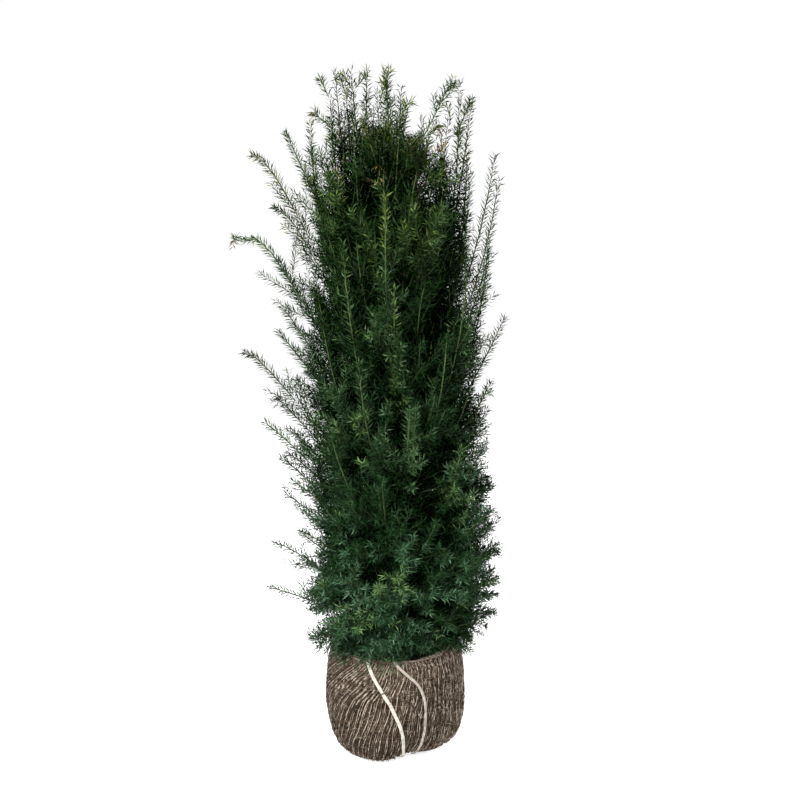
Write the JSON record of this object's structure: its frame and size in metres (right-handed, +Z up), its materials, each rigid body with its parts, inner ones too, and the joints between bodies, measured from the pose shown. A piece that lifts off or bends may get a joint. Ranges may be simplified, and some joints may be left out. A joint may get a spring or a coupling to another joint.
{
  "type": "yew tree",
  "caption": "Young columnar yew with dense dark needles on a root ball wrapped in jute and tied with twine.",
  "frame": {"origin": "on the flat underside of the wrapped root ball, below the foot of the trunk", "axes": "+Z up along the trunk; -Y is the front, where the twines meet in the notch of the ball; +X is to the right seen from the front"},
  "size_m": [0.5441, 0.4885, 1.3796],
  "materials": {
    "bark": "matte",
    "needles": "matte",
    "jute": "matte",
    "twine": "matte",
    "soil": "matte"
  },
  "bodies": {
    "root": {"bough_crown_1": "bark", "bough_crown_2": "bark", "bough_crown_3": "bark", "bough_crown_4": "bark", "bough_lower_1": "bark", "bough_lower_2": "bark", "bough_lower_3": "bark", "bough_lower_4": "bark", "bough_middle_1": "bark", "bough_middle_2": "bark", "bough_middle_3": "bark", "bough_middle_4": "bark", "bough_shoulder_1": "bark", "bough_shoulder_2": "bark", "bough_shoulder_3": "bark", "bough_shoulder_4": "bark", "bough_skirt_1": "bark", "bough_skirt_2": "bark", "bough_skirt_3": "bark", "bough_skirt_4": "bark", "bough_upper_1": "bark", "bough_upper_2": "bark", "bough_upper_3": "bark", "bough_upper_4": "bark", "foliage_crown_1": "needles", "foliage_crown_2": "needles", "foliage_crown_3": "needles", "foliage_crown_4": "needles", "foliage_leader": "needles", "foliage_lower_1": "needles", "foliage_lower_2": "needles", "foliage_lower_3": "needles", "foliage_lower_4": "needles", "foliage_middle_1": "needles", "foliage_middle_2": "needles", "foliage_middle_3": "needles", "foliage_middle_4": "needles", "foliage_shoulder_1": "needles", "foliage_shoulder_2": "needles", "foliage_shoulder_3": "needles", "foliage_shoulder_4": "needles", "foliage_skirt_1": "needles", "foliage_skirt_2": "needles", "foliage_skirt_3": "needles", "foliage_skirt_4": "needles", "foliage_upper_1": "needles", "foliage_upper_2": "needles", "foliage_upper_3": "needles", "foliage_upper_4": "needles", "jute_wrap": "jute", "root_ball": "soil", "trunk": "bark", "twine_back_left": "twine", "twine_back_right": "twine", "twine_front_left": "twine", "twine_front_right": "twine", "twine_tie": "twine"}
  },
  "joints": []
}
